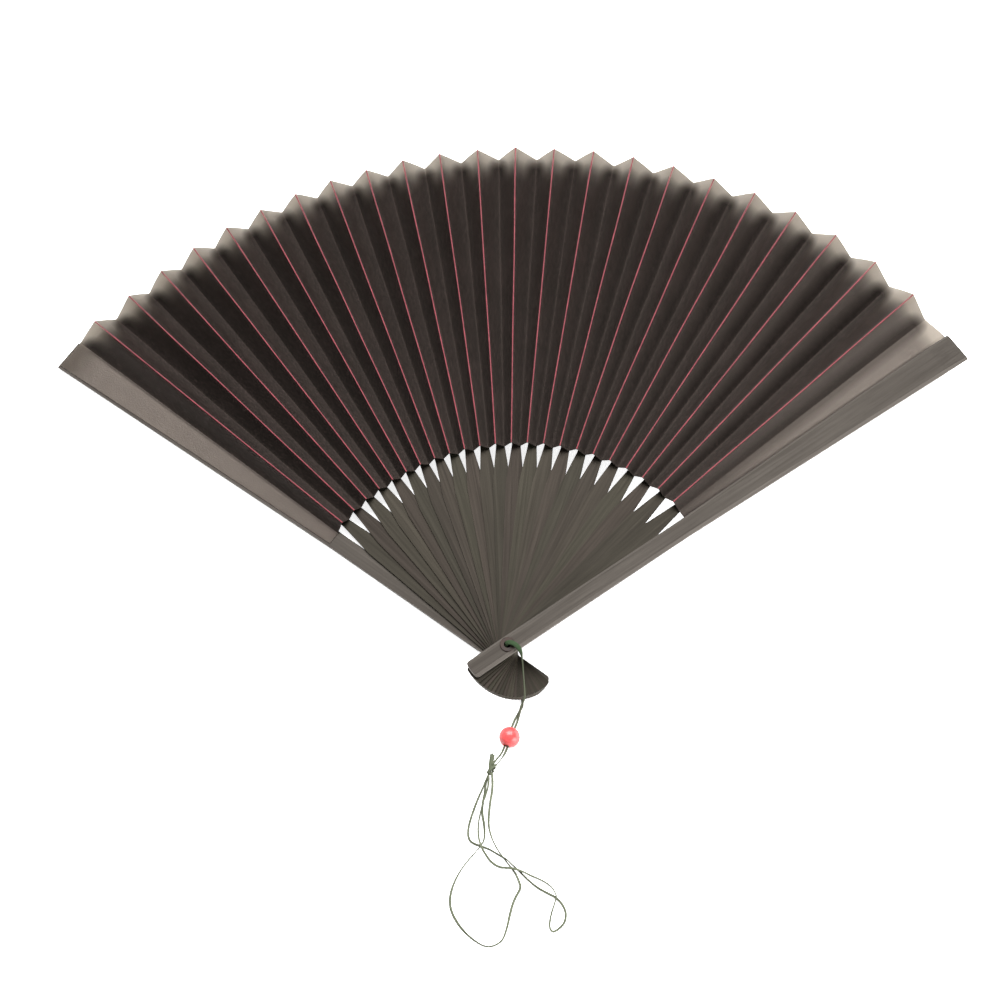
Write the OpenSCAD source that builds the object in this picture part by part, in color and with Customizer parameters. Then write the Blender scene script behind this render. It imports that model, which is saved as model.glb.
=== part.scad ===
// Pleated folding fan, open and lying on its rear guard, with a corded bead at the pivot.
// Millimetres. The pivot axis is Z through the origin, +Y runs to the middle of the leaf,
// +X to the right, and Z = 0 is the surface that the rear guard lies on.

/* [Opening] */
// Direction of the rear guard, in degrees from +X
rear_azimuth = 144.2; // [140:0.1:150]
// Direction of the front guard, in degrees from +X
front_azimuth = 35.8; // [30:0.1:38]
// Direction of the first ridge of the leaf, next to the rear guard
first_ridge = 140.1; // [139.5:0.1:141]
// Smallest angle between two ridges
fold_step = 4.07; // [3.9:0.01:4.1]
// How fast the angle between ridges grows away from the tightest one
fold_spread = 0.0072; // [0.006:0.0001:0.0078]
// Number of the rib where the ridges stand closest
tightest_rib = 9; // [8:1:12]

/* [Leaf] */
// Outer radius of the leaf
leaf_r = 220; // [200:1:240]
// How far the first fold is drawn out past that radius, towards the rear guard's tip
rear_reach = 5; // [0:0.5:6]
// How far the last fold is drawn in from that radius, at the front guard
front_draw = 1.2; // [0:0.1:2]
// Inner radius of the leaf
leaf_inner_r = 86.5; // [84:0.5:90]
// Height from valley to ridge at the outer edge
pleat_h = 9.8; // [8:0.1:10]
// Angle covered by the panel that is glued to a rib
panel_angle = 2.25; // [2:0.05:2.4]
// Thickness of the leaf with its glue
leaf_t = 0.25; // [0.2:0.05:0.3]
// Height of the middle of the pleats over the ribs
leaf_lift = 2.35; // [2.3:0.05:2.6]

/* [Ribs] */
// Number of ribs between the guards
rib_count = 23; // [21:1:23]
// Width of a rib from its head to its shoulder
stick_w = 7.2; // [6.5:0.1:7.4]
// Radius of the ribs' head ends about the pivot
head_r = 17.8; // [16:0.1:20]
// Radius of the guards' head ends about the pivot
guard_head_r = 17.1; // [16:0.1:18.3]
// Radius of the corners of the guards' heads
guard_corner = 1.4; // [1:0.1:2.4]
// Radius of the corners of the ribs' heads
rib_corner = 0.6; // [0.4:0.1:1]
// Thickness of a rib at the pivot
rib_t = 0.7; // [0.6:0.01:0.71]
// Thickness of a rib at the leaf's outer edge
rib_tip_t = 0.32; // [0.25:0.01:0.33]
// Rise from one rib to the next at the pivot
rib_pitch = 0.73; // [0.72:0.01:0.76]
// Rise from one rib to the next at the leaf's outer edge
tip_pitch = 0.38; // [0.36:0.01:0.4]
// Radius where a rib starts to narrow
shoulder_r = 71; // [68:0.5:74]
// Width of a rib where it goes under the leaf
leaf_w = 3.6; // [3:0.1:4]
// Width of the slip that carries the leaf
slip_w = 2.4; // [2:0.1:2.6]
// Angle from a ridge to the middle line of its rib
rib_turn = 1.2; // [1:0.05:1.4]

/* [Guards] */
// Width of a guard at the leaf's outer edge
guard_tip_w = 13.2; // [11:0.1:14]
// Length of the rear guard from the pivot to its tip
rear_guard_r = 225.5; // [225:0.5:228]
// Length of the front guard from the pivot to its tip
front_guard_r = 219.5; // [219:0.5:222]
// Thickness of the rear guard at the pivot
rear_t = 3.2; // [3:0.1:3.2]
// Thickness of the rear guard at its tip
rear_tip_t = 1.65; // [1.5:0.05:1.65]
// Clearance under the rear guard's head, for the cord and the washer
head_clearance = 1.6; // [1.6:0.05:1.8]
// Thickness of the front guard at the pivot
front_t = 2.4; // [2:0.1:2.6]
// Thickness of the front guard at its tip
front_tip_t = 2; // [1.8:0.1:2.4]
// Width of the bevel along the guards' outer edges
bevel = 1; // [0.6:0.1:1.2]
// Length of the slope at the front guard's tip
tip_slope_l = 11; // [8:0.5:14]
// How far that slope falls
tip_fall = 0.9; // [0.5:0.1:1]

/* [Pivot] */
// Radius of the bore in every stick
bore_r = 2.05; // [2.05:0.01:2.1]
// Outer radius of the eyelet's tube
eyelet_r = 2; // [1.9:0.05:2]
// Radius of the hole through the eyelet
eyelet_hole_r = 1.4; // [1.3:0.05:1.5]
// Radius of the eyelet's flange and of its washer
flange_r = 2.9; // [2.7:0.1:3.2]
// Thickness of the flange and of the washer
flange_t = 0.45; // [0.3:0.05:0.45]

/* [Cord] */
// Diameter of the cord
cord_d = 1; // [0.8:0.05:1]
// Diameter of the bead
bead_d = 8; // [7.5:0.1:8]
// Radius of the hole through the bead
bead_hole_r = 1.25; // [1.2:0.01:1.3]

/* [Hidden] */
$fn = 48;
seam = 0.05;            // gap between the leaf and what it is glued to
fold_gap = 0.02;        // half the angle left open between two pleats
first_rib_z = 3.25;     // underside of the first rib at the pivot
first_tip_z = 2.75;     // top of the first rib at the leaf's outer edge
slip_start_r = 101;     // where a rib has narrowed to its slip
slip_end_r = 205;       // where the slip ends, inside the leaf
blade_start_r = 14;     // where the rear guard reaches its full thickness
guard_flare_r = 84;     // where the guards start to widen
head_steps = 6;         // straight steps round a head end
corner_steps = 5;       // straight steps round its corners
cord_sides = 8;
bead_azimuth = 250;     // direction of the bead's hole
bead_at = [0.45, -31, bead_d / 2];
wood = [0.31, 0.28, 0.24];
cloth = [0.16, 0.14, 0.13];
cord_colour = [0.56, 0.6, 0.5];

// Front strand: up through the eyelet, over the front guard, down over the heads,
// through the bead and the knot, round the right-hand loop and back to the knot.
front_route = [
    [-0.7, 0, 12], [-0.7, 0, 21], [-0.4, 0.2, 23], [0.6, 0.3, 24.2], [2.2, -0.1, 24.5],
    [4, -1.4, 24], [5.2, -3.6, 22.6], [5.7, -7, 19.5], [6, -11.5, 15.8], [6.3, -17.5, 12.4],
    [5, -20, 8.8], [4, -22.9, 5.6], [3.25, -25.1, 4], [0.95, -31.2, 4], [-1.25, -37.3, 4],
    [-3.9, -40.7, 2.6], [-6.5, -43.2, 1.7], [-8.2, -46.3, 0.9], [-9.6, -49.8, 0.5],
    [-11.8, -55.2, 0.5], [-14.2, -62.6, 0.5], [-14.9, -67.3, 0.5], [-14.2, -70.1, 0.5],
    [-12.4, -71.5, 0.5], [-10, -72.4, 0.5], [-6.6, -73.7, 0.5], [-2.8, -76, 0.7], [-0.3, -77.6, 1.7],
    [1.6, -79.3, 1.2], [3.9, -81.2, 0.5], [7.5, -84.8, 0.5], [12, -88.4, 0.5], [18.2, -91.8, 0.5],
    [21, -94.9, 0.5], [22, -98.1, 0.5], [21.3, -101.3, 0.5], [19, -103.7, 0.5], [17.1, -104.4, 0.5],
    [16, -102.4, 0.5], [16.6, -98, 0.6], [18, -93.6, 1.5], [18.4, -91.2, 1.8], [16.6, -87.8, 0.8],
    [13.2, -85.4, 0.6], [8.8, -83.5, 0.8], [4.9, -81.9, 1.7], [1.9, -81.1, 1.8], [-2.8, -80.3, 0.6],
    [-6, -78.3, 0.6], [-8.5, -75.2, 2], [-10, -72.3, 2.9], [-10.8, -69.2, 1.4], [-11.1, -65.6, 0.6],
    [-10.8, -62, 0.6], [-9.6, -56.6, 1.7], [-8.2, -52.3, 1.5], [-7.4, -48.4, 1.7], [-7.5, -45.2, 2.5]];

// Back strand: down through the eyelet, under the heads, through the bead and the knot,
// round the left-hand loop and back to the knot.
back_route = [
    [-0.7, 0, 11.9], [-0.7, 0, 7], [-0.6, 0, 3.2], [-0.3, -0.2, 1.7], [0.4, -1.1, 0.8],
    [1.4, -3.6, 0.5], [4.4, -12.5, 0.5], [5.1, -16.9, 0.7], [4.4, -19.6, 2], [3.3, -22.3, 3.3],
    [2.15, -24.7, 4], [-0.05, -30.8, 4], [-2.35, -36.9, 4], [-4.9, -40, 2.8], [-6.9, -43, 1.7],
    [-7.8, -46, 0.8], [-8.5, -48.3, 0.5], [-8.9, -52.3, 0.5], [-9.6, -56.4, 0.5], [-9.6, -60.1, 0.5],
    [-8.8, -65, 0.5], [-8.8, -69.6, 0.8], [-10, -72.6, 1.7], [-12.4, -75.2, 0.8], [-16.9, -80.8, 0.5],
    [-20.1, -87.2, 0.5], [-21.2, -93, 0.5], [-20.1, -98.1, 0.5], [-16.3, -103.9, 0.5],
    [-11.1, -108.4, 0.5], [-6.6, -110.2, 0.5], [-2.2, -108.4, 0.5], [-0.2, -104.5, 0.5],
    [1.7, -96.2, 0.5], [3, -92.3, 0.5], [4.9, -88.5, 0.5], [4.7, -86.4, 0.5], [2.9, -82.4, 0.5],
    [-0.3, -78.2, 0.5], [-3.4, -74, 0.5], [-6, -68.9, 0.5], [-7.2, -63.4, 0.5], [-6.8, -56.3, 0.5],
    [-6, -50.4, 0.6], [-6, -46, 1.7], [-6.4, -44.2, 2.2]];

function two_digits(k) = k < 10 ? str("0", k) : str(k);
function rib_name(k) = str("rib_", two_digits(k));
function pleat_name(k) = str("leaf_pleat_", two_digits(k));

// Directions of the folds
function ridge(k) = k == 1 ? first_ridge
    : ridge(k - 1) - fold_step - fold_spread * pow(k - 0.5 - tightest_rib, 2);
function valley(k) = k == 0 ? rear_azimuth - 1.8 : ridge(k) - panel_angle;
function rib_azimuth(k) = ridge(k) - rib_turn;

// Radius of the leaf's outer edge; ridge k lies at k - 0.5 and valley k at k
function leaf_edge(k) = leaf_r + rear_reach * exp(-k) - front_draw * exp(k - rib_count);

// A height that runs straight from the pivot to the leaf's outer edge
function between(pivot_z, tip_z, r) = pivot_z + (tip_z - pivot_z) * max(r, 0) / leaf_r;

// Heights at radius r; k may fall between two ribs
function rib_bottom_z(k) = first_rib_z + rib_pitch * (k - 1);
function rib_tip_z(k) = first_tip_z + tip_pitch * (k - 1);
function rib_top_z(k, r) = between(rib_bottom_z(k) + rib_t, rib_tip_z(k), r);
function rear_top_z(r) = between(rear_t, rear_tip_t, r);
front_bottom = rib_bottom_z(rib_count) + rib_t + 0.04;
front_tip_bottom = rib_tip_z(rib_count) + leaf_t + 0.09;
front_top = front_bottom + front_t;
front_tip_top = front_tip_bottom + front_tip_t;
function front_bottom_z(r) = between(front_bottom, front_tip_bottom, r);
function half_pleat(r) = pleat_h / 2 * r / leaf_r;
function leaf_z(k, r) = rib_top_z(k, r) + leaf_lift;
function ridge_z(k, r) = leaf_z(k, r) + half_pleat(r);
function valley_z(k, r) = k == 0 ? rear_top_z(r) + leaf_t + seam : leaf_z(k + 0.5, r) - half_pleat(r);

function polar(azimuth, r, z) = [r * cos(azimuth), r * sin(azimuth), z];
function guard_half_w(r) = stick_w / 2
    + (guard_tip_w - stick_w) / 2 * max(r - guard_flare_r, 0) / (leaf_r - guard_flare_r);

function arc(at, r, from, to, steps) =
    [for (i = [0:steps]) let (a = from + (to - from) * i / steps) at + r * [cos(a), sin(a)]];

// Plan of a stick along +X: a head end about the pivot, its two corners rounded,
// then half widths at each [radius, width]
function head_end(corner, r) = let (
        in_r = r - corner,
        half = asin((stick_w / 2 - corner) / in_r),
        at = in_r * [-cos(half), sin(half)])
    concat(arc(at, corner, 90, 180 - half, corner_steps),
        arc([0, 0], r, 180 - half * 0.75, 180 + half * 0.75, head_steps),
        arc([at[0], -at[1]], corner, 180 + half, 270, corner_steps));
function stick_plan(widths, corner, r) = concat(head_end(corner, r),
    [for (s = widths) [s[0], -s[1] / 2]],
    [for (i = [len(widths) - 1:-1:0]) [widths[i][0], widths[i][1] / 2]]);

// A stick from its plan and its side view, which is a polygon of [radius, height]
module stick(azimuth, plan, side) {
    rotate([0, 0, azimuth]) difference() {
        intersection() {
            linear_extrude(height = 40) polygon(plan);
            rotate([90, 0, 0]) linear_extrude(height = 40, center = true) polygon(side);
        }
        translate([0, 0, -1]) cylinder(r = bore_r, h = 42);
    }
}

// A bar of square section set on edge, which cuts a bevel along the line from a to b
module bevel_cut(a, b) {
    line = b - a;
    side = bevel * sqrt(2);
    translate(a) rotate([0, -asin(line[2] / norm(line)), atan2(line[1], line[0])])
        rotate([45, 0, 0]) translate([-1, -side / 2, -side / 2]) cube([norm(line) + 2, side, side]);
}

module guard_bevels(azimuth, radii, heights) {
    rotate([0, 0, azimuth]) for (s = [-1, 1]) for (i = [0:len(radii) - 2])
        bevel_cut([radii[i], s * guard_half_w(radii[i]), heights[i]],
                  [radii[i + 1], s * guard_half_w(radii[i + 1]), heights[i + 1]]);
}

function guard_plan(tip_r) =
    stick_plan([[guard_flare_r, stick_w], [tip_r, 2 * guard_half_w(tip_r)]],
        guard_corner, guard_head_r);

module rear_guard() {
    color(wood) difference() {
        stick(rear_azimuth, guard_plan(rear_guard_r),
            [[-head_r - 1, head_clearance], [blade_start_r - 2, head_clearance], [blade_start_r, 0],
             [rear_guard_r + 1, 0], [rear_guard_r + 1, rear_top_z(rear_guard_r + 1)], [0, rear_t],
             [-head_r - 1, rear_t]]);
        guard_bevels(rear_azimuth, [blade_start_r, guard_flare_r, rear_guard_r], [0, 0, 0]);
    }
}

module front_guard() {
    past_r = front_guard_r + 1;
    slope_r = front_guard_r - tip_slope_l;
    function top_z(r) = between(front_top, front_tip_top, r)
        - tip_fall * max(r - slope_r, 0) / tip_slope_l;
    edge = [-head_r, 0, guard_flare_r, slope_r, front_guard_r];
    color(wood) difference() {
        stick(front_azimuth, guard_plan(front_guard_r),
            [[-head_r - 1, front_bottom], [0, front_bottom], [past_r, front_bottom_z(past_r)],
             [past_r, top_z(past_r)], [slope_r, top_z(slope_r)], [0, front_top],
             [-head_r - 1, front_top]]);
        guard_bevels(front_azimuth, edge, [for (r = edge) top_z(r)]);
    }
}

module rib(k) {
    bottom = rib_bottom_z(k);
    color(wood) stick(rib_azimuth(k),
        stick_plan([[shoulder_r, stick_w], [leaf_inner_r, leaf_w],
                    [slip_start_r, slip_w], [slip_end_r, slip_w * 0.75]], rib_corner, head_r),
        [[-head_r - 1, bottom], [0, bottom], [leaf_r, rib_tip_z(k) - rib_tip_t],
         [leaf_r, rib_tip_z(k)], [0, bottom + rib_t], [-head_r - 1, bottom + rib_t]]);
}

// A thin sheet from rows of points on its upper face, the rows running outward
module sheet_strip(rows) {
    n = len(rows);
    m = len(rows[0]);
    top = [for (row = rows) for (p = row) p];
    points = concat(top, [for (p = top) p - [0, 0, leaf_t]]);
    low = n * m;
    function quad(a, b, c, d) = [[a, b, c], [a, c, d]];
    faces = concat(
        [for (j = [0:n - 2]) for (i = [0:m - 2]) let (a = j * m + i)
            each concat(quad(a, a + m, a + m + 1, a + 1),
                        quad(low + a, low + a + 1, low + a + m + 1, low + a + m))],
        [for (j = [0:n - 2]) let (a = j * m, b = j * m + m - 1)
            each concat(quad(a, low + a, low + a + m, a + m), quad(b, b + m, low + b + m, low + b))],
        [for (i = [0:m - 2]) let (a = i, b = (n - 1) * m + i)
            each concat(quad(a, a + 1, low + a + 1, low + a), quad(b, low + b, low + b + 1, b + 1))]);
    polyhedron(points, faces);
}

module leaf_pleat(k) {
    function row(r) = [
        polar(valley(k - 1) - fold_gap, r[0], valley_z(k - 1, r[0])),
        polar(ridge(k), r[1], ridge_z(k, r[1])),
        polar(valley(k) + fold_gap, r[2], valley_z(k, r[2]))];
    color(cloth) sheet_strip([
        row([leaf_inner_r, leaf_inner_r, leaf_inner_r]),
        row([leaf_edge(k - 1), leaf_edge(k - 0.5), leaf_edge(k)])]);
}

// The last panels: one lies on the rear guard, the other runs under the front guard
module leaf_rear_end() {
    margin = 1.2;
    color(cloth) sheet_strip([for (r = [leaf_inner_r, leaf_edge(0)]) [
        polar(rear_azimuth + asin((guard_half_w(r) - margin) / r), r, valley_z(0, r)),
        polar(valley(0) + fold_gap, r, valley_z(0, r))]]);
}

module leaf_front_end() {
    margin = 1.5;
    color(cloth) sheet_strip([for (r = [leaf_inner_r, leaf_edge(rib_count)]) [
        polar(valley(rib_count) - fold_gap, r, valley_z(rib_count, r)),
        polar(front_azimuth + asin(guard_half_w(r) / r), r, front_bottom_z(r) - seam),
        polar(front_azimuth - asin((guard_half_w(r) - margin) / r), r, front_bottom_z(r) - seam)]]);
}

washer_z = head_clearance - 0.03 - flange_t;

// The tube that all the sticks turn on, with its front flange
module eyelet() {
    edge = 0.2;
    color([0.25, 0.21, 0.19]) rotate_extrude() polygon([
        [eyelet_hole_r, washer_z], [eyelet_r, washer_z], [eyelet_r, front_top],
        [flange_r, front_top], [flange_r, front_top + flange_t - edge],
        [flange_r - edge, front_top + flange_t], [eyelet_hole_r, front_top + flange_t]]);
}

module eyelet_washer() {
    color([0.25, 0.21, 0.19]) rotate_extrude() polygon([
        [eyelet_r, washer_z], [flange_r, washer_z],
        [flange_r, washer_z + flange_t], [eyelet_r, washer_z + flange_t]]);
}

// A round tube swept along a route, its rings turned as little as possible between points
function unit(v) = v / norm(v);
function route_way(p, i) = unit(p[min(i + 1, len(p) - 1)] - p[max(i - 1, 0)]);
function square_to(n, t) = unit(n - (n * t) * t);
function ring_sides(p, i, n) = i == len(p) ? []
    : let (s = square_to(n, route_way(p, i))) concat([s], ring_sides(p, i + 1, s));

module route_tube(p, d) {
    sides = ring_sides(p, 0, [1, 0.3, 0]);
    last = (len(p) - 1) * cord_sides;
    points = [for (i = [0:len(p) - 1]) let (n = sides[i], b = cross(route_way(p, i), n))
        for (j = [0:cord_sides - 1]) let (a = 360 * (j + 0.5) / cord_sides)
            p[i] + d / 2 * (cos(a) * n + sin(a) * b)];
    walls = [for (i = [0:len(p) - 2]) for (j = [0:cord_sides - 1])
        let (a = i * cord_sides + j, b = i * cord_sides + (j + 1) % cord_sides)
            each [[a, a + cord_sides, b + cord_sides], [a, b + cord_sides, b]]];
    polyhedron(points, concat(walls, [[for (j = [0:cord_sides - 1]) j]],
        [[for (j = [cord_sides - 1:-1:0]) last + j]]));
}

module cord_front() { color(cord_colour) route_tube(front_route, cord_d); }

module cord_back() { color(cord_colour) route_tube(back_route, cord_d); }

// The knot below the bead, with the two cut ends of the cord standing out of it
module cord_knot() {
    ball_r = 1.15;
    stub_w = 1.5;
    stub_t = 0.5;
    module lump(p) { translate(p) sphere(r = ball_r, $fn = 16); }
    module stub(a, b) {
        hull() for (p = [a, b]) translate(p) rotate([0, 0, 20])
            cube([stub_w, stub_t, stub_t * 1.6], center = true);
    }
    color(cord_colour) {
        hull() {
            lump([-5.6, -41.6, 1.9]);
            lump([-7.2, -44.4, 1.7]);
        }
        hull() {
            lump([-6.9, -41.9, 1.5]);
            lump([-6.5, -44.2, 1.6]);
        }
        stub([-6.9, -41.5, 1.4], [-6.4, -36.9, 0.8]);
        stub([-6.3, -41.5, 1.8], [-5.8, -37.5, 1.9]);
    }
}

module bead() {
    color([0.93, 0.3, 0.28]) translate(bead_at) rotate([0, 90, bead_azimuth]) difference() {
        sphere(d = bead_d, $fn = 64);
        cylinder(r = bead_hole_r, h = bead_d + 2, center = true);
    }
}

rear_guard();
front_guard();
for (k = [1:rib_count]) rib(k);
leaf_rear_end();
for (k = [1:rib_count]) leaf_pleat(k);
leaf_front_end();
eyelet();
eyelet_washer();
cord_front();
cord_back();
cord_knot();
bead();
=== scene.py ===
"""An open pleated folding fan on a pale floor: the looks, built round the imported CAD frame."""

import math
import random

import bpy
import numpy as np
from mathutils import Matrix, Vector


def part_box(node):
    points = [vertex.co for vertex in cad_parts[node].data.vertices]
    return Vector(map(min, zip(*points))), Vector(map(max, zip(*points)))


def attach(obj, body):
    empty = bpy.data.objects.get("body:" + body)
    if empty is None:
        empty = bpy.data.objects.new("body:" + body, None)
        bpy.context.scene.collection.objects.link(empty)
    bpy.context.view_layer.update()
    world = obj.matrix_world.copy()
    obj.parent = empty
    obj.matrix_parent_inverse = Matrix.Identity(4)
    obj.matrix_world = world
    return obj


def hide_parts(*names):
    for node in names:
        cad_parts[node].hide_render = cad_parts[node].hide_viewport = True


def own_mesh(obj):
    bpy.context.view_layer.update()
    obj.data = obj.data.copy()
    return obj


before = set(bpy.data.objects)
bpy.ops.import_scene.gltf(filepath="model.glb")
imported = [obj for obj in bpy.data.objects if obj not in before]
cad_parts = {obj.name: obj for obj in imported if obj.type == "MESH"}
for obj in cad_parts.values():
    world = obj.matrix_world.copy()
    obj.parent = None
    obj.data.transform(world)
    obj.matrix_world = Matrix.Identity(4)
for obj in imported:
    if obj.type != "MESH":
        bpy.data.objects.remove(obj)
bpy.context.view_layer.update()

MM = 0.001
UP = Vector((0, 0, 1))
RIBS = sum(name.startswith("rib_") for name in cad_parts)
rng = random.Random(23)

# ---------------------------------------------------------------- camera

CAMERA_AT = Vector((35.0, -280.0, 871.0)) * MM
CAMERA_TURN, CAMERA_TILT, CAMERA_ROLL = 6.5, 21.9, -6.2  # degrees
CAMERA_LENS = 84.9  # mm, on a 36 mm sensor


def turn(degrees, axis):
    return Matrix.Rotation(math.radians(degrees), 4, axis)


camera = bpy.data.objects.new("camera", bpy.data.cameras.new("camera"))
bpy.context.collection.objects.link(camera)
camera.data.lens = CAMERA_LENS
camera.matrix_world = (
    Matrix.Translation(CAMERA_AT) @ turn(CAMERA_TURN, "Z") @ turn(CAMERA_TILT, "X") @ turn(CAMERA_ROLL, "Z")
)
bpy.context.scene.camera = camera

# ---------------------------------------------------------------- material helpers


class Shader:
    """A material with one Principled shader, and short ways to wire its textures."""

    def __init__(self, name, **sockets):
        self.material = bpy.data.materials.new(name)
        self.material.use_nodes = True
        self.nodes = self.material.node_tree.nodes
        self.surface = self.nodes["Principled BSDF"]
        self.output = self.nodes["Material Output"]
        for socket, value in sockets.items():
            self.surface.inputs[socket.replace("_", " ")].default_value = value

    def link(self, source, target):
        self.material.node_tree.links.new(source, target)

    def node(self, kind, inputs=(), **settings):
        made = self.nodes.new("ShaderNode" + kind)
        for key, value in settings.items():
            setattr(made, key, value)
        for key, value in dict(inputs).items():
            if isinstance(value, bpy.types.NodeSocket):
                self.link(value, made.inputs[key])
            else:
                made.inputs[key].default_value = value
        return made

    def place(self, turned=0.0, scale=(1, 1, 1), shift=(0, 0, 0)):
        """Object coordinates, turned about Z and then stretched. At rest they are the row frame's."""
        source = self.node("TexCoord").outputs["Object"]
        flat = self.node("Mapping", {"Vector": source, "Rotation": (0, 0, turned)})
        return self.node(
            "Mapping", {"Vector": flat.outputs[0], "Scale": scale, "Location": shift}
        ).outputs[0]

    def noise(self, vector, scale=1.0, detail=4.0, roughness=0.6, distortion=0.0):
        return self.node(
            "TexNoise",
            {
                "Vector": vector, "Scale": scale, "Detail": detail,
                "Roughness": roughness, "Distortion": distortion,
            },
        ).outputs["Fac"]

    def ramp(self, value, *stops):
        """Colours between (position, colour) stops."""
        made = self.node("ValToRGB", {"Fac": value})
        elements = made.color_ramp.elements
        while len(elements) < len(stops):
            elements.new(0.5)
        for element, (position, colour) in zip(elements, stops):
            element.position = position
            element.color = (*colour, 1)
        return made.outputs["Color"]

    def mix(self, share, a, b):
        """Colour a, and b as far as share says."""
        made = self.node("Mix", data_type="RGBA")
        sockets = made.inputs["Factor"], made.inputs[6], made.inputs[7]
        for socket, value in zip(sockets, (share, a, b)):
            if isinstance(value, bpy.types.NodeSocket):
                self.link(value, socket)
            else:
                socket.default_value = value if isinstance(value, float) else (*value, 1)
        return made.outputs[2]

    def sum(self, operation, a, b):
        return self.node("Math", {0: a, 1: b}, operation=operation).outputs[0]

    def span(self, value, low, high, to_low=0.0, to_high=1.0):
        """The value, carried over from low..high to to_low..to_high and held at the ends."""
        return self.node(
            "MapRange",
            {"Value": value, "From Min": low, "From Max": high, "To Min": to_low, "To Max": to_high},
        ).outputs[0]

    def bump(self, height, distance, strength=1.0):
        made = self.node("Bump", {"Height": height, "Distance": distance, "Strength": strength})
        self.link(made.outputs[0], self.surface.inputs["Normal"])
        return made.outputs[0]


# ---------------------------------------------------------------- materials


def times(colour, factor):
    return tuple(c * factor for c in colour)


WOOD_SHINE = (1, 0.88, 0.76, 1)
FIBRES, PORES, CLOUDS = (14, 900, 500), (70, 5200, 2500), (22, 60, 60)  # per metre: along, across and down


def wood(name, azimuth, dark, light, gloss, wear_and_highlight, seed):
    """Stained wood with its grain along a stick that points along azimuth, pale on its edges: partly wear,
    partly a painted bevel highlight.
    """
    s = Shader(name, Specular_IOR_Level=gloss, Specular_Tint=WOOD_SHINE)
    along = math.radians(-azimuth)
    shift = (seed * 3.1, seed * 1.7, seed * 0.9)
    fibre = s.noise(s.place(along, FIBRES, shift), detail=5, roughness=0.65, distortion=0.4)
    pores = s.noise(s.place(along, PORES, shift), detail=2)
    cloudy = s.noise(s.place(along, CLOUDS, shift), detail=3)
    colour = s.ramp(fibre, (0.3, dark), (0.7, light))
    colour = s.mix(s.span(cloudy, 0.35, 0.7, 0, 0.45), colour, dark)
    colour = s.mix(s.span(pores, 0.58, 0.72, 0, 0.5), colour, times(dark, 0.4))
    normal = s.node("SeparateXYZ", {0: s.node("TexCoord").outputs["Normal"]}).outputs[2]
    # painted highlight: bevels and sides are lightened, partly as real wear and partly as a painted highlight
    edge = s.span(s.sum("ABSOLUTE", normal, 0.0), 0.9, 0.4)
    worn = s.sum("MULTIPLY", edge, s.span(cloudy, 0.3, 0.7, wear_and_highlight * 0.5, wear_and_highlight))
    colour = s.mix(worn, colour, times(light, 5))
    s.link(colour, s.surface.inputs["Base Color"])
    s.link(s.span(fibre, 0.3, 0.7, 0.62, 0.5), s.surface.inputs["Roughness"])
    s.bump(s.sum("ADD", fibre, s.sum("MULTIPLY", pores, -0.4)), 0.00006, 0.6)
    return s.material


VALLEY_SHADE_HALF = 6.6  # mm: half the band of painted shade beside a valley
VALLEY_SHADE_END = 0.6  # mm: the gap between the painted shade band's round end and the outer edge
VALLEY_SHADE_INSIDE, VALLEY_SHADE_OUTSIDE = 4.4, 1.0  # mm: how far the painted shade band's soft side reaches in and out
VALLEY_SHADE_ROUGH, OFF_VALLEY_ROUGH = 0.66, 0.44
RIM_GLOW = 15.0  # mm from the outer edge in which more light comes through the cloth outside the painted valley shade
RIM_SHEER, VALLEY_SHADE_SHEER, OFF_VALLEY_SHEER = 0.4, 0.02, 0.14  # shares of light that come through
LIGHT_THROUGH = (0.92, 0.87, 0.8, 1)
CLOTH_SHINE = (1, 0.86, 0.74, 1)
WARP, WEFT = 3400.0, 21000.0  # threads, as radians for a radian round the pivot and for a metre outwards


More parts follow.
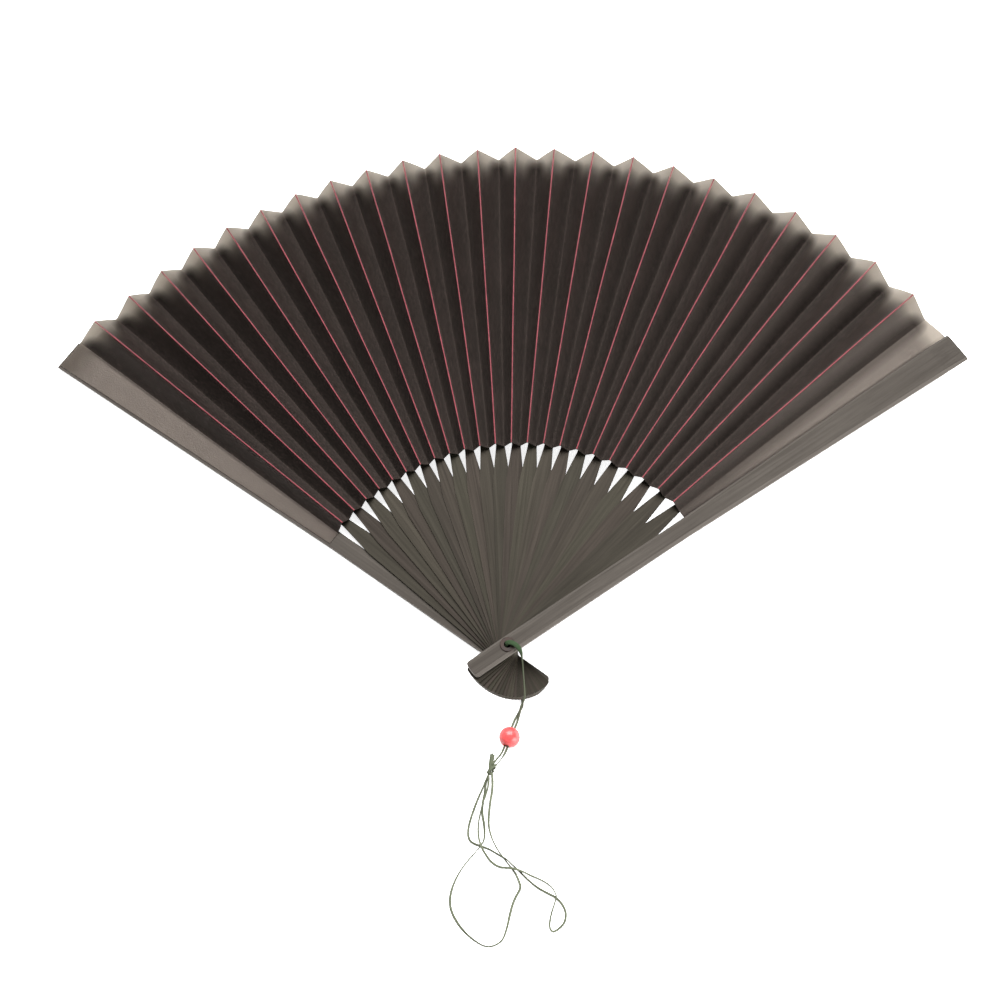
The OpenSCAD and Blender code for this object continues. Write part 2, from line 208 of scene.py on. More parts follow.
def cloth(name, tone, gloss):
    """Thin dark woven cloth. Beside each valley it has a band of painted shade with a round end, where it is
    also duller and lets less light through; elsewhere it shines a little, and near its outer edge it lets
    light through."""
    s = Shader(name, Specular_IOR_Level=gloss, Specular_Tint=CLOTH_SHINE)
    point = s.node("TexCoord").outputs["Object"]
    place = s.node("SeparateXYZ", {0: point})
    angle = s.sum("ARCTAN2", place.outputs[1], place.outputs[0])
    radius = s.node("VectorMath", {0: point}, operation="LENGTH").outputs["Value"]
    warp = s.sum("SINE", s.sum("MULTIPLY", angle, WARP), 0.0)
    weft = s.sum("SINE", s.sum("MULTIPLY", radius, WEFT), 0.0)
    weave = s.span(s.sum("MULTIPLY", warp, weft), -1.0, 1.0)
    dust = s.noise(s.place(), scale=60.0, detail=5)
    slub = s.noise(s.place(), scale=1500.0, detail=3, roughness=0.7)
    fold = s.node("Attribute", attribute_name="fold").outputs["Fac"]
    inset = s.node("Attribute", attribute_name="inset").outputs["Fac"]
    beside = s.node("Attribute", attribute_name="from_valley").outputs["Fac"]
    beyond = s.sum("MAXIMUM", s.sum("SUBTRACT", VALLEY_SHADE_HALF + VALLEY_SHADE_END, inset), 0.0)
    near = s.sum("SQRT", s.sum("ADD", s.sum("POWER", beside, 2.0), s.sum("POWER", beyond, 2.0)), 0.0)
    clear_of_valley_shade = s.span(near, VALLEY_SHADE_HALF - VALLEY_SHADE_INSIDE, VALLEY_SHADE_HALF + VALLEY_SHADE_OUTSIDE)
    body = s.mix(s.span(weave, 0.2, 0.9), times(tone, 0.6), tone)
    # painted shade: the cloth is darkened in a band beside each valley
    body = s.mix(s.span(clear_of_valley_shade, 0, 1, 0.8, 0), body, times(tone, 0.3))
    body = s.mix(s.span(dust, 0.4, 0.75, 0, 0.5), body, times(tone, 1.9))
    body = s.mix(s.span(slub, 0.5, 0.72, 0, 0.7), body, times(tone, 6))
    crease = s.sum("MAXIMUM", s.span(fold, 0.03, 0.0, 0, 0.55), s.span(fold, 0.97, 1.0, 0, 0.6))
    s.link(s.mix(crease, body, times(tone, 4)), s.surface.inputs["Base Color"])
    rough = s.sum("ADD", s.span(clear_of_valley_shade, 0, 1, VALLEY_SHADE_ROUGH, OFF_VALLEY_ROUGH), s.span(slub, 0.3, 0.7, -0.1, 0.12))
    s.link(rough, s.surface.inputs["Roughness"])
    normal = s.bump(s.sum("ADD", s.sum("MULTIPLY", weave, 0.4), slub), 0.00012, 0.7)
    back = s.node("BsdfTranslucent", {"Color": LIGHT_THROUGH, "Normal": normal})
    glow = s.sum("POWER", s.span(inset, RIM_GLOW, RIM_GLOW * 0.3), 1.5)
    rim = s.sum("MULTIPLY", s.sum("MULTIPLY", glow, clear_of_valley_shade), RIM_SHEER)
    sheer = s.sum("ADD", rim, s.span(clear_of_valley_shade, 0, 1, VALLEY_SHADE_SHEER, OFF_VALLEY_SHEER))
    both = s.node("MixShader", {0: sheer, 1: s.surface.outputs[0], 2: back.outputs[0]})
    s.link(both.outputs[0], s.output.inputs["Surface"])
    return s.material


LINE_DARK, LINE_LIGHT = (0.09, 0.008, 0.014), (0.17, 0.022, 0.032)


def fold_line():
    """Red thread along each ridge, a little uneven in its dye."""
    s = Shader("fold_line", Roughness=0.6, Specular_IOR_Level=0.3)
    dye = s.noise(s.place(), scale=350.0, detail=3)
    s.link(s.ramp(dye, (0.3, LINE_DARK), (0.7, LINE_LIGHT)), s.surface.inputs["Base Color"])
    s.bump(s.noise(s.place(), scale=3000.0), 0.00003)
    return s.material


BRONZE_DARK, BRONZE_LIGHT = (0.01, 0.0065, 0.0055), (0.03, 0.019, 0.015)


def bronze():
    """Dark tarnished metal."""
    s = Shader("bronze", Metallic=0.1, Specular_IOR_Level=0.12)
    tarnish = s.noise(s.place(), scale=500.0, detail=5)
    s.link(s.ramp(tarnish, (0.35, BRONZE_DARK), (0.65, BRONZE_LIGHT)), s.surface.inputs["Base Color"])
    s.link(s.span(tarnish, 0.3, 0.7, 0.35, 0.6), s.surface.inputs["Roughness"])
    s.bump(tarnish, 0.00003, 0.4)
    return s.material


CORD_DULL, CORD_PALE = (0.075, 0.085, 0.055), (0.12, 0.13, 0.09)
CORD_GREEN, CORD_GAPS = (0.02, 0.04, 0.017), (0.03, 0.035, 0.02)
STRANDS_ROUND, STRANDS_ALONG = 60.0, 9000.0


def braid():
    """Flat cord: fine slanting strands, darker and greener where the green attribute is high."""
    s = Shader("braid", Specular_IOR_Level=0.1)
    uv = s.node("SeparateXYZ", {0: s.node("UVMap", uv_map="strand").outputs[0]})
    rounds = s.sum("MULTIPLY", uv.outputs[0], STRANDS_ROUND)
    slant = s.sum("ADD", rounds, s.sum("MULTIPLY", uv.outputs[1], STRANDS_ALONG))
    strands = s.span(s.sum("SINE", slant, 0.0), -1.0, 1.0)
    worn = s.noise(s.place(), scale=120.0, detail=4)
    green = s.node("Attribute", attribute_name="green").outputs["Fac"]
    pale = s.mix(s.span(worn, 0.3, 0.7), CORD_DULL, CORD_PALE)
    colour = s.mix(green, pale, CORD_GREEN)
    colour = s.mix(s.span(strands, 0.0, 0.5, 0.45, 0.0), colour, CORD_GAPS)
    s.link(colour, s.surface.inputs["Base Color"])
    s.link(s.span(worn, 0.3, 0.7, 0.7, 0.85), s.surface.inputs["Roughness"])
    s.bump(strands, 0.00006, 0.8)
    return s.material


CORAL_DARK, CORAL_LIGHT = (0.45, 0.045, 0.045), (0.56, 0.085, 0.085)
CORAL_BANDS = (150, 150, 900)  # per metre


def coral():
    """Satin coral resin with faint bands and a few polishing marks."""
    s = Shader("coral", Specular_IOR_Level=0.4, Subsurface_Weight=0.25, Subsurface_Scale=0.002)
    s.surface.inputs["Subsurface Radius"].default_value = (1.0, 0.3, 0.25)
    bands = s.noise(s.place(scale=CORAL_BANDS), detail=3, distortion=0.6)
    s.link(s.ramp(bands, (0.3, CORAL_DARK), (0.7, CORAL_LIGHT)), s.surface.inputs["Base Color"])
    s.link(s.span(bands, 0.3, 0.7, 0.3, 0.42), s.surface.inputs["Roughness"])
    s.bump(s.noise(s.place(), scale=1500.0), 0.00001, 0.3)
    return s.material


def paint(obj, material):
    obj.data.materials.clear()
    obj.data.materials.append(material)


# ---------------------------------------------------------------- mesh helpers

SHARP_ANGLE = math.radians(40)  # an edge that turns more than this stays crisp


def mesh_object(name, points, faces, smooth=True):
    mesh = bpy.data.meshes.new(name)
    mesh.from_pydata([tuple(p) for p in points], [], faces)
    mesh.validate()
    mesh.polygons.foreach_set("use_smooth", [smooth] * len(mesh.polygons))
    if smooth:
        mesh.set_sharp_from_angle(angle=SHARP_ANGLE)
    made = bpy.data.objects.new(name, mesh)
    bpy.context.collection.objects.link(made)
    return made


def attribute(obj, name, values):
    layer = obj.data.attributes.new(name, "FLOAT", "POINT")
    layer.data.foreach_set("value", np.asarray(values, np.float32))


def smooth_path(points, steps):
    """A Catmull-Rom curve through the points."""
    ends = [points[0] * 2 - points[1], *points, points[-1] * 2 - points[-2]]
    path = []
    for a, b, c, d in zip(ends, ends[1:], ends[2:], ends[3:]):
        for i in range(steps):
            t = i / steps
            square, cube = a * 2 - b * 5 + c * 4 - d, b * 3 - a - c * 3 + d
            path.append((b * 2 + (c - a) * t + square * t**2 + cube * t**3) / 2)
    return path + [points[-1]]


def sweep(path, width, thickness, twist, sides=12, power=0.8):
    """Rings of a flat cord along path. width, thickness and twist are functions of the share of the path;
    with no twist the flat side faces up. Returns points, faces, and each point's (around, along) place."""
    lengths = [0.0]
    for a, b in zip(path, path[1:]):
        lengths.append(lengths[-1] + (b - a).length)
    points, faces, places, side = [], [], [], Vector((0, 1, 0))
    for i, p in enumerate(path):
        way = (path[min(i + 1, len(path) - 1)] - path[max(i - 1, 0)]).normalized()
        level = way.cross(UP)
        side = level.normalized() if level.length > 0.35 else (side - way * side.dot(way)).normalized()
        share = lengths[i] / lengths[-1]
        spin = Matrix.Rotation(math.radians(twist(share)), 3, way)
        across, over = spin @ side, spin @ side.cross(way)
        for j in range(sides):
            a = 2 * math.pi * (j + 0.5) / sides
            x, y = math.cos(a), math.sin(a)
            x, y = math.copysign(abs(x) ** power, x), math.copysign(abs(y) ** power, y)
            points.append(p + across * (x * width(share) / 2) + over * (y * thickness(share) / 2))
            places.append((j / sides, lengths[i]))
    rings = len(path)
    for i in range(rings - 1):
        for j in range(sides):
            a, b = i * sides + j, i * sides + (j + 1) % sides
            faces.append((a, b, b + sides, a + sides))
    faces.append(tuple(reversed(range(sides))))
    faces.append(tuple(range((rings - 1) * sides, rings * sides)))
    return points, faces, places


def strand_uv(obj, places):
    layer = obj.data.uv_layers.new(name="strand")
    for loop in obj.data.loops:
        layer.data[loop.index].uv = places[loop.vertex_index]


def steady(value):
    return lambda share: value


def keyed(*keys):
    """A function of the share that runs straight between (share, value) keys."""
    shares, values = zip(*keys)
    return lambda share: float(np.interp(share, shares, values))


# ---------------------------------------------------------------- cord, knot and bead

CORD_W, CORD_T = 1.0 * MM, 0.5 * MM
CORD_LOW = 0.5 * MM  # a strand standing on its edge clears the floor at this height

FRONT_ROUTE = [
    (-0.7, 0, 12), (-0.7, 0, 21), (-0.4, 0.2, 23), (0.6, 0.3, 24.2), (2.2, -0.1, 24.5),
    (4, -1.4, 24), (5.2, -3.6, 22.6), (5.7, -7, 19.5), (6, -11.5, 15.8), (6.3, -17.5, 12.4),
    (5, -20, 8.8), (4, -22.9, 5.6), (3.25, -25.1, 4), (0.95, -31.2, 4), (-1.25, -37.3, 4),
    (-3.9, -40.7, 2.6), (-6.5, -43.2, 1.7), (-8.2, -46.3, 0.9), (-9.6, -49.8, 0.5),
    (-11.8, -55.2, 0.5), (-14.2, -62.6, 0.5), (-14.9, -67.3, 0.5), (-14.2, -70.1, 0.5),
    (-12.4, -71.5, 0.5), (-10, -72.4, 0.5), (-6.6, -73.7, 0.5), (-2.8, -76, 0.7), (-0.3, -77.6, 1.7),
    (1.6, -79.3, 1.2), (3.9, -81.2, 0.5), (7.5, -84.8, 0.5), (12, -88.4, 0.5), (18.2, -91.8, 0.5),
    (21, -94.9, 0.5), (22, -98.1, 0.5), (21.3, -101.3, 0.5), (19, -103.7, 0.5), (17.1, -104.4, 0.5),
    (16, -102.4, 0.5), (16.6, -98, 0.6), (18, -93.6, 1.5), (18.4, -91.2, 1.8), (16.6, -87.8, 0.8),
    (13.2, -85.4, 0.6), (8.8, -83.5, 0.8), (4.9, -81.9, 1.7), (1.9, -81.1, 1.8), (-2.8, -80.3, 0.6),
    (-6, -78.3, 0.6), (-8.5, -75.2, 2), (-10, -72.3, 2.9), (-10.8, -69.2, 1.4), (-11.1, -65.6, 0.6),
    (-10.8, -62, 0.6), (-9.6, -56.6, 1.7), (-8.2, -52.3, 1.5), (-7.4, -48.4, 1.7), (-7.5, -45.2, 2.5),
]
BACK_ROUTE = [
    (-0.7, 0, 11.9), (-0.7, 0, 7), (-0.6, 0, 3.2), (-0.3, -0.2, 1.7), (0.4, -1.1, 0.8),
    (1.4, -3.6, 0.5), (4.4, -12.5, 0.5), (5.1, -16.9, 0.7), (4.4, -19.6, 2), (3.3, -22.3, 3.3),
    (2.15, -24.7, 4), (-0.05, -30.8, 4), (-2.35, -36.9, 4), (-4.9, -40, 2.8), (-6.9, -43, 1.7),
    (-7.8, -46, 0.8), (-8.5, -48.3, 0.5), (-8.9, -52.3, 0.5), (-9.6, -56.4, 0.5), (-9.6, -60.1, 0.5),
    (-8.8, -65, 0.5), (-8.8, -69.6, 0.8), (-10, -72.6, 1.7), (-12.4, -75.2, 0.8), (-16.9, -80.8, 0.5),
    (-20.1, -87.2, 0.5), (-21.2, -93, 0.5), (-20.1, -98.1, 0.5), (-16.3, -103.9, 0.5),
    (-11.1, -108.4, 0.5), (-6.6, -110.2, 0.5), (-2.2, -108.4, 0.5), (-0.2, -104.5, 0.5),
    (1.7, -96.2, 0.5), (3, -92.3, 0.5), (4.9, -88.5, 0.5), (4.7, -86.4, 0.5), (2.9, -82.4, 0.5),
    (-0.3, -78.2, 0.5), (-3.4, -74, 0.5), (-6, -68.9, 0.5), (-7.2, -63.4, 0.5), (-6.8, -56.3, 0.5),
    (-6, -50.4, 0.6), (-6, -46, 1.7), (-6.4, -44.2, 2.2),
]
cord_finish = braid()


def route_path(route):
    return smooth_path([Vector(p) * MM for p in route], 5)


def cord_piece(name, route, width, thickness, twist, green):
    """A cord along a route in mm. width, thickness, twist and green are functions of the share of the path."""
    path = route_path(route)
    for p in path:
        p.z = max(p.z, CORD_LOW)
    points, faces, places = sweep(path, width, thickness, twist)
    made = mesh_object(name, points, faces)
    strand_uv(made, places)
    total = places[-1][1]
    attribute(made, "green", [green(along / total) for _, along in places])
    paint(made, cord_finish)
    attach(made, "front_guard")
    return made, path


def wave(middle, swing, turns):
    return lambda share: middle + swing * math.sin(2 * math.pi * turns * share)


def after(share, early, late):
    """early up to that share of the cord, late beyond it."""
    return lambda s: early(s) if s < share else late(s)


ARCH_END, ARCH_NARROW = 0.075, 0.09  # shares of the front strand: its green arch over the guard narrows here
FRONT_LOOSE, BACK_LOOSE = 0.27, 0.3  # past these shares the strands twist as they lie

front_cord, front_path = cord_piece(
    "cord_over_guard", FRONT_ROUTE,
    keyed((0, CORD_W), (0.045, CORD_W * 1.8), (ARCH_END, CORD_W * 1.8), (ARCH_NARROW, CORD_W * 0.9),
          (1, CORD_W * 0.9)),
    keyed((0, CORD_T), (0.045, CORD_T * 1.6), (ARCH_END, CORD_T * 1.6), (ARCH_NARROW, CORD_T), (1, CORD_T)),
    after(
        FRONT_LOOSE,
        keyed((0, 0), (ARCH_END, 0), (ARCH_NARROW, 70), (0.15, 70), (0.18, 10), (FRONT_LOOSE, 20)),
        wave(40, 38, 4.5),
    ),
    keyed((0, 1), (ARCH_END, 1), (0.095, 0.3), (0.14, 0), (1, 0)),
)
back_cord, back_path = cord_piece(
    "cord_under_heads", BACK_ROUTE, steady(CORD_W), steady(CORD_T),
    after(BACK_LOOSE, keyed((0, 0), (0.15, 0), (0.2, 35), (BACK_LOOSE, 40)), wave(45, 38, 5)),
    keyed((0, 1), (0.06, 0.5), (0.15, 0), (1, 0)),
)
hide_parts("cord_front")
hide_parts("cord_back")

KNOT_TOP, KNOT_END = Vector((-5.5, -41.3, 1.75)) * MM, Vector((-7.3, -44.8, 1.6)) * MM
ACROSS = [(-4.6, -41.4, 2.3), (-5.6, -42.3, 3), (-6.9, -43.6, 3), (-8, -44.6, 2.2)]
LOW_STUB = [(-6.9, -43.2, 1.9), (-6.9, -41.5, 1.6), (-6.7, -39.4, 1.2), (-6.4, -36.8, 0.8)]
HIGH_STUB = [(-6.6, -43, 2), (-6.3, -41.3, 2.1), (-6.1, -39.4, 2), (-5.8, -37.4, 1.9)]
KNOT_GREEN = 0.12
LOOSE_FIBRES, FIBRE_W = 9, 0.12 * MM  # at each cut end


def helix(start, end, radius, turns, steps=26):
    """Turns of cord round the line from start to end, a little fuller at their middle."""
    axis = (end - start).normalized()
    side = axis.cross(UP).normalized()
    over = side.cross(axis)
    path = []
    for i in range(steps + 1):
        t = i / steps
        a = 2 * math.pi * turns * t
        bulge = radius * (0.82 + 0.18 * math.sin(math.pi * t))
        path.append(start.lerp(end, t) + (side * math.cos(a) + over * math.sin(a)) * bulge)
    return path


def knot_piece():
    """Two wraps drawn tight round the strands, one strand across them, and two cut ends with loose fibres."""
    wrap = steady(0.95 * MM), steady(0.5 * MM)
    stub = steady(1.35 * MM), steady(0.45 * MM)
    runs = [
        (helix(KNOT_TOP, KNOT_END, 1.0 * MM, 2.4), *wrap, steady(60)),
        (helix(KNOT_END, KNOT_TOP, 0.7 * MM, 1.3), *wrap, steady(20)),
        (route_path(ACROSS), *wrap, steady(0)),
        (route_path(LOW_STUB), *stub, keyed((0, 30), (1, 8))),
        (route_path(HIGH_STUB), *stub, keyed((0, -20), (1, 15))),
    ]
    for tip, way in ((LOW_STUB[-1], (0.1, 1, -0.1)), (HIGH_STUB[-1], (0.2, 1, 0))):
        for _ in range(LOOSE_FIBRES):
            start = Vector(tip) * MM + Vector((rng.uniform(-0.55, 0.55), -0.1, rng.uniform(-0.12, 0.12))) * MM
            reach = Vector(way) + Vector([rng.uniform(-0.35, 0.35) for _ in range(3)])
            end = start + reach * rng.uniform(0.35, 0.75) * MM
            runs.append(([start, start.lerp(end, 0.5) + UP * rng.uniform(-0.05, 0.08) * MM, end],
                         steady(FIBRE_W), steady(FIBRE_W), steady(0)))
    points, faces, places = [], [], []
    for path, width, thickness, twist in runs:
        p, f, q = sweep(path, width, thickness, twist)
        faces += [tuple(i + len(points) for i in face) for face in f]
        points += p
        places += q
    made = mesh_object("cord_knot_tied", points, faces)
    strand_uv(made, places)
    attribute(made, "green", [KNOT_GREEN] * len(points))
    paint(made, cord_finish)
    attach(made, "front_guard")
    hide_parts("cord_knot")
    return made


knot = knot_piece()

BEAD_AZIMUTH = 250  # degrees: the direction of its hole
BEAD_R, BEAD_HOLE_R, BEAD_RIM = 4 * MM, 1.25 * MM, 0.35 * MM
GROOVE_DEPTH, GROOVE_AT, GROOVE_HALF = 0.05 * MM, 0.16, 0.05  # the last two are radians from the rim
BEAD_AROUND, RIM_STEPS, BALL_STEPS = 72, 6, 40


def bead_piece():
    """A turned bead: a ball with its hole's rims rounded over and a shallow groove beside each rim."""
    low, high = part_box("bead")
    centre = (Vector(low) + Vector(high)) / 2
    start = math.asin((BEAD_HOLE_R + BEAD_RIM) / BEAD_R)
    outline = [(BEAD_HOLE_R, 0.0)]
    rim_x = BEAD_R * math.cos(start) - BEAD_RIM * 0.35
    outline += [
        (BEAD_HOLE_R + BEAD_RIM * (1 - math.cos(a)), rim_x - BEAD_RIM * (1 - math.sin(a)) * 1.2)
        for a in (math.pi / 2 * i / RIM_STEPS for i in range(RIM_STEPS))
    ]
    for i in range(BALL_STEPS):
        a = start + (math.pi / 2 - start) * i / (BALL_STEPS - 1)
        groove = GROOVE_DEPTH * math.exp(-(((a - start - GROOVE_AT) / GROOVE_HALF) ** 2))
        outline.append(((BEAD_R - groove) * math.sin(a), (BEAD_R - groove) * math.cos(a)))
    outline += [(r, -x) for r, x in reversed(outline[1:-1])]
    around = BEAD_AROUND
    points = [
        Vector((x, r * math.cos(2 * math.pi * j / around), r * math.sin(2 * math.pi * j / around)))
        for r, x in outline for j in range(around)
    ]
    n = len(outline)
    faces = [
        (i * around + j, i * around + (j + 1) % around,
         (i + 1) % n * around + (j + 1) % around, (i + 1) % n * around + j)
        for i in range(n) for j in range(around)
    ]
    spin = Matrix.Rotation(math.radians(BEAD_AZIMUTH), 3, "Z")
    made = mesh_object("bead_turned", [spin @ p + centre for p in points], faces)
    paint(made, coral())
    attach(made, "bead")
    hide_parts("bead")
    return made


bead = bead_piece()

# ---------------------------------------------------------------- sticks and eyelet

GUARD_DARK, GUARD_LIGHT = (0.014, 0.012, 0.0105), (0.028, 0.025, 0.022)
RIB_DARK, RIB_LIGHT = (0.007, 0.006, 0.0042), (0.016, 0.0135, 0.0095)
GUARD_GLOSS, RIB_GLOSS = 0.19, 0.13
# how pale the stick edges go: partly real wear, partly a painted highlight on the bevels
GUARD_WEAR_AND_HIGHLIGHT, RIB_WEAR_AND_HIGHLIGHT = 0.9, 0.35


def two_digits(k):
    return f"{k:02d}"


def node_points(name):
    """A CAD node's points, in metres in the row frame."""
    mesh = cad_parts[name].data
    points = np.empty(len(mesh.vertices) * 3)
    mesh.vertices.foreach_get("co", points)
    return points.reshape(-1, 3)


def stick_azimuth(name):
    """The direction from the pivot to the middle of a stick's tip, in degrees."""
    points = node_points(name)
    far = points[np.hypot(points[:, 0], points[:, 1]) > 0.2]
    x, y = far[:, 0].mean(), far[:, 1].mean()
    return math.degrees(math.atan2(y, x))


def tinted(colour, seed):
    """The colour, a little greener or redder and lighter or darker for each stick."""
    green, light = math.sin(seed * 2.3), 1 + 0.16 * math.sin(seed * 5.1)
    shift = 1 - 0.07 * green, 1 + 0.06 * green, 1 - 0.05 * green
    return tuple(c * light * f for c, f in zip(colour, shift))


def paint_stick(name, dark, light, gloss, wear_and_highlight, seed):
    paint(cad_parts[name], wood(name + "_wood", stick_azimuth(name), dark, light, gloss, wear_and_highlight, seed))


for guard, seed in (("rear_guard", 41), ("front_guard", 47)):
    paint_stick(guard, GUARD_DARK, GUARD_LIGHT, GUARD_GLOSS, GUARD_WEAR_AND_HIGHLIGHT, seed)
for k in range(1, RIBS + 1):
    paint_stick("rib_" + two_digits(k), tinted(RIB_DARK, k), tinted(RIB_LIGHT, k), RIB_GLOSS, RIB_WEAR_AND_HIGHLIGHT, k)
metal = bronze()
for name in ("eyelet", "eyelet_washer"):
    paint(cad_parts[name], metal)

# ---------------------------------------------------------------- leaf

CLOTH_T = 0.2 * MM
CLOTH_TONE = (0.0055, 0.0037, 0.0034)
LINE_W, LINE_H = 0.46 * MM, 0.34 * MM
FOLD_SHARES = [0, 0.02, 0.05, 0.1, 0.22, 0.36, 0.5, 0.64, 0.78, 0.9, 0.95, 0.98, 1]
LENGTH_STEPS = 44
FOLD_ROUND, FOLD_SPREAD = 0.22 * MM, 0.5 * MM  # how much a fold is rounded off, and how far from its line
FOLD_STRAY, FOLD_REACH = 0.09 * MM, 0.25 * MM  # hand folding: sideways, and in or out at the outer edge
PANEL_BOW = 0.3 * MM
PLEAT_GLOSS, END_GLOSS = 0.33, 0.55
cloth_finish = cloth("cloth", CLOTH_TONE, PLEAT_GLOSS)
end_finish = cloth("cloth_end", CLOTH_TONE, END_GLOSS)
line_finish = fold_line()


def upper_corners(name):
    """A leaf node's corners on its upper face as [(inner, outer)], from the rear guard to the front one."""
    points = np.unique(np.round(node_points(name), 7), axis=0)
    reach = np.hypot(points[:, 0], points[:, 1])
    halves = []
    for half in (points[reach < 0.15], points[reach >= 0.15]):
        half = half[np.argsort(-np.arctan2(half[:, 1], half[:, 0]), kind="stable")]
        halves.append([Vector(max(pair.tolist(), key=lambda p: p[2])) for pair in half.reshape(-1, 2, 3)])
    return list(zip(*halves))


tents = [upper_corners("leaf_pleat_" + two_digits(k)) for k in range(1, RIBS + 1)]
rear_end, front_end = upper_corners("leaf_rear_end"), upper_corners("leaf_front_end")


def midway(a, b):
    return tuple((p + q) / 2 for p, q in zip(a, b))


class Fold:
    """A fold of the leaf from its inner to its outer edge, with the small unevenness of hand folding."""

    def __init__(self, ends, lift):
        self.inner, self.outer = ends
        self.side = (self.outer - self.inner).cross(UP).normalized()
        self.out = (self.outer - self.inner).normalized()
        self.lift = lift
        self.waves = [(rng.uniform(-1, 1), rng.uniform(2, 5), rng.uniform(0, 6.3)) for _ in range(3)]
        self.reach = rng.uniform(-1, 1) * FOLD_REACH

    def at(self, t):
        """The fold's point at t from 0 to 1, and how far it strays sideways and up there."""
        stray = sum(size * math.sin(turns * math.pi * t + start) for size, turns, start in self.waves)
        point = self.inner.lerp(self.outer, t) + self.out * (self.reach * t)
        return point + self.side * (stray * FOLD_STRAY * (0.4 + 0.6 * t)) + UP * (self.lift * stray * t)


RIDGE_LIFT = 0.05 * MM  # how far a ridge strays up and down
valleys = [Fold(midway(rear_end[-1], tents[0][0]), 0)]
ridges = []
for k in range(RIBS):
    following = tents[k + 1][0] if k + 1 < RIBS else front_end[0]
    ridges.append(Fold(tents[k][1], RIDGE_LIFT))
    valleys.append(Fold(midway(tents[k][2], following), 0))


def rounding(distance):
    """How far a rounded fold moves the cloth at that distance from its line."""
    return FOLD_ROUND * math.exp(-((distance / FOLD_SPREAD) ** 2))


def panel_row(valley, ridge, t, bow):
    """Points across one panel from valley to ridge: the folds are rounded and the middle bows a little."""
    low, high = valley.at(t), ridge.at(t)
    across = high - low
    width = across.length
    normal = across.cross(ridge.out).normalized()
    normal = normal if normal.z > 0 else -normal
    row = []
    for s in FOLD_SHARES:
        from_ridge, from_valley = (1 - s) * width, s * width
        lift = UP * (rounding(from_valley) - rounding(from_ridge))
        row.append((low + across * s + normal * (bow * math.sin(math.pi * s)) + lift, s, from_valley / MM))
    return row


def sheet_mesh(name, rows, folds, from_valley, finish):
    """A closed thin sheet from rows of upper points. Each point gets three attributes: fold, 0 at a valley
    and 1 at a ridge; from_valley, in mm across the sheet; and inset, in mm from the outer edge."""
    across, count = len(rows[0]), len(rows)
    upper = [p for row in rows for p in row]
    points = upper + [p - UP * CLOTH_T for p in upper]
    under = across * count
    faces = []
    for i in range(count - 1):
        for j in range(across - 1):
            a = i * across + j
            quad = (a, a + across, a + across + 1, a + 1)
            faces += [quad, tuple(under + v for v in reversed(quad))]
    rim = [*range(across), *(i * across + across - 1 for i in range(1, count)),
           *((count - 1) * across + j for j in range(across - 2, -1, -1)),
           *(i * across for i in range(count - 2, 0, -1))]
    for a, b in zip(rim, rim[1:] + rim[:1]):
        faces.append((a, b, under + b, under + a))
    made = mesh_object(name, points, faces)
    attribute(made, "fold", list(folds) * (count * 2))
    attribute(made, "from_valley", [d for row in from_valley for d in row] * 2)
    attribute(made, "inset", [(a - b).length / MM for row in rows for a, b in zip(row, rows[-1])] * 2)
    paint(made, finish)
    return made


def width_at(folds, t):
    return sum((b.at(t) - a.at(t)).length for a, b in zip(folds, folds[1:]))


def rib_plane(name, azimuth):
    """The height on the pivot axis and the normal of a rib's upper face."""
    points = node_points(name)
    reach = np.hypot(points[:, 0], points[:, 1])
    at_pivot, at_tip = points[reach < 0.003], points[reach > 0.2]
    base, tip = at_pivot[:, 2].max(), at_tip[:, 2].max()
    slope = (tip - base) / at_tip[at_tip[:, 2].argmax(), :2].dot(
        (math.cos(math.radians(azimuth)), math.sin(math.radians(azimuth)))
    )
    normal = Vector((-slope * math.cos(math.radians(azimuth)), -slope * math.sin(math.radians(azimuth)), 1))
    return base, normal.normalized()


def pleat(k):
    """The leaf between two valleys, with the red line along its ridge; both ride on its rib."""
    number = two_digits(k)
    body, joint = "rib_" + number, "rib_" + number + "_fold"
    left, ridge, right = valleys[k - 1], ridges[k - 1], valleys[k]
    left_bow, right_bow = rng.uniform(-0.2, 1) * PANEL_BOW, rng.uniform(-0.2, 1) * PANEL_BOW
    rows = []
    for i in range(LENGTH_STEPS + 1):
        t = i / LENGTH_STEPS
        first = panel_row(left, ridge, t, left_bow * t)
        second = panel_row(right, ridge, t, right_bow * t)
        rows.append(first + second[-2::-1])
    points = [[p for p, _, _ in row] for row in rows]
    beside = [[d for _, _, d in row] for row in rows]
    made = sheet_mesh("cloth_pleat_" + number, points, [s for _, s, _ in rows[0]], beside, cloth_finish)
    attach(made, body)
    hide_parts("leaf_pleat_" + number)

    sunk = UP * (LINE_H * 0.1 - FOLD_ROUND * 0.8)
    crest = [ridge.at(i / LENGTH_STEPS) + sunk for i in range(LENGTH_STEPS + 1)]
    line_width = wave(LINE_W, LINE_W * 0.05, 9)
    points, faces, _ = sweep(crest, line_width, steady(LINE_H), steady(0), sides=8, power=1.0)
    line = mesh_object("fold_line_" + number, points, faces)
    paint(line, line_finish)
    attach(line, body)

    base, normal = rib_plane(body, stick_azimuth(body))
    for piece in (made, line):
        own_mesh(piece)
    folds = [left, ridge, right]
    width_at(folds, 0)
    width_at(folds, 1)


END_SHARES = [0, 0.04, 0.1, 0.2, 0.35, 0.5, 0.65, 0.78, 0.86, 0.91, 0.95, 0.98, 1]
FREE_BOW = 0.3 * MM
TUCK, TUCK_SPREAD = 0.45 * MM, 0.7 * MM  # how far the free panel dips where it goes under its guard


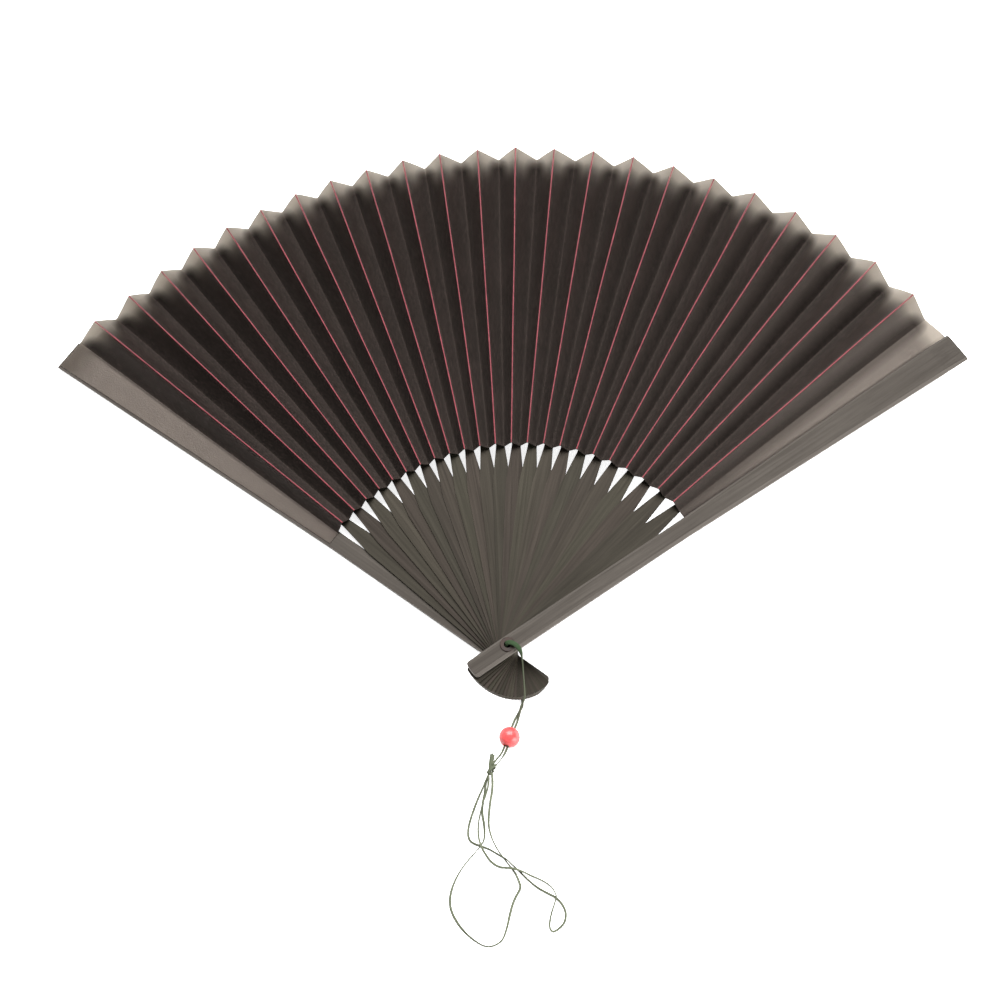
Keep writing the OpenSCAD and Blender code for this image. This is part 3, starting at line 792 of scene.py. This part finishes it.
def end_rows(a, b, valley, free):
    """Rows of a plain panel between two edges, each an object with at(t). It meets the pleats at the edge
    valley. A free panel bows up beside the valley and dips beside the guard."""
    rows = []
    for i in range(LENGTH_STEPS + 1):
        t = i / LENGTH_STEPS
        start, end = a.at(t), b.at(t)
        width = (end - start).length
        row = []
        for share in END_SHARES:
            from_valley = width * (share if valley is a else 1 - share)
            lift = rounding(from_valley)
            if free:
                lift += FREE_BOW * t * math.sin(math.pi * share**0.7)
                lift -= TUCK * math.exp(-((width * (1 - share) / TUCK_SPREAD) ** 2))
            row.append(start.lerp(end, share) + UP * lift)
        rows.append(row)
    return rows


class Edge:
    """A straight edge of the leaf."""

    def __init__(self, ends):
        self.inner, self.outer = ends

    def at(self, t):
        return self.inner.lerp(self.outer, t)


NO_VALLEY_SHADE = 50.0  # mm: far from any valley, so no painted valley shade
FREE_VALLEY_SHADE = 1.5  # the free panel's band of painted valley shade is this many times narrower


def end_panel(name, body, a, b, node=None, valley=None, free=False):
    """A panel that ends the leaf. A free one hangs from its guard, and has a band of painted shade beside its
    valley.
    """
    rows = end_rows(a, b, valley, free)
    # the free panel gets a narrower band of painted valley shade; the others get none
    if free:
        beside = [[(p - row[0]).length / MM * FREE_VALLEY_SHADE for p in row] for row in rows]
    else:
        beside = [[NO_VALLEY_SHADE] * len(row) for row in rows]
    made = sheet_mesh(name, rows, [0.5] * len(END_SHARES), beside, end_finish)
    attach(made, body)
    if node:
        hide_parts(node)
    widths = [(b.at(t) - a.at(t)).length for t in (0, 1)]
    return made


for k in range(1, RIBS + 1):
    pleat(k)
guard_side, under_guard = Edge(front_end[1]), Edge(front_end[2])
end_panel(
    "cloth_rear_end", "rear_guard", Edge(rear_end[0]), valleys[0], "leaf_rear_end",
    valley=valleys[0],
)
free_panel = end_panel(
    "cloth_front_end", "front_guard", valleys[-1], guard_side, "leaf_front_end",
    valley=valleys[-1], free=True,
)
end_panel("cloth_under_guard", "front_guard", guard_side, under_guard)
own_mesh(free_panel)

# ---------------------------------------------------------------- floor and light

FLOOR_LIFT = 0.8  # how much paler the floor looks than its shadows alone would leave it
FLOOR_HALF, FLOOR_DROP = 4.0, 0.05 * MM


def floor():
    s = Shader("floor", Base_Color=(0.9, 0.9, 0.9, 1), Roughness=0.9, Specular_IOR_Level=0.1)
    seen = s.node("LightPath").outputs["Is Camera Ray"]
    s.surface.inputs["Emission Color"].default_value = (1, 1, 1, 1)
    s.link(s.sum("MULTIPLY", seen, FLOOR_LIFT), s.surface.inputs["Emission Strength"])
    corners = [(x * FLOOR_HALF, y * FLOOR_HALF, -FLOOR_DROP) for x, y in ((-1, -1), (1, -1), (1, 1), (-1, 1))]
    made = mesh_object("floor", corners, [(0, 1, 2, 3)], smooth=False)
    paint(made, s.material)


def soft_light(name, place, size, power, aim=(0, 0.05, 0)):
    light = bpy.data.lights.new(name, "AREA")
    light.shape = "RECTANGLE"
    light.size, light.size_y = size
    light.energy = power
    made = bpy.data.objects.new(name, light)
    bpy.context.collection.objects.link(made)
    made.location = place
    made.rotation_euler = (Vector(aim) - Vector(place)).to_track_quat("-Z", "Y").to_euler()


def daylight(strength):
    world = bpy.data.worlds.new("studio")
    bpy.context.scene.world = world
    world.use_nodes = True
    background = world.node_tree.nodes["Background"]
    background.inputs["Color"].default_value = (1, 1, 1, 1)
    background.inputs["Strength"].default_value = strength


floor()
soft_light("overhead", place=(0.0, 0.95, 1.5), size=(1.7, 1.3), power=115)
soft_light("right_side", place=(1.2, -0.8, 0.45), size=(0.9, 0.9), power=36)
daylight(0.24)
bpy.context.scene.view_settings.view_transform = "Standard"
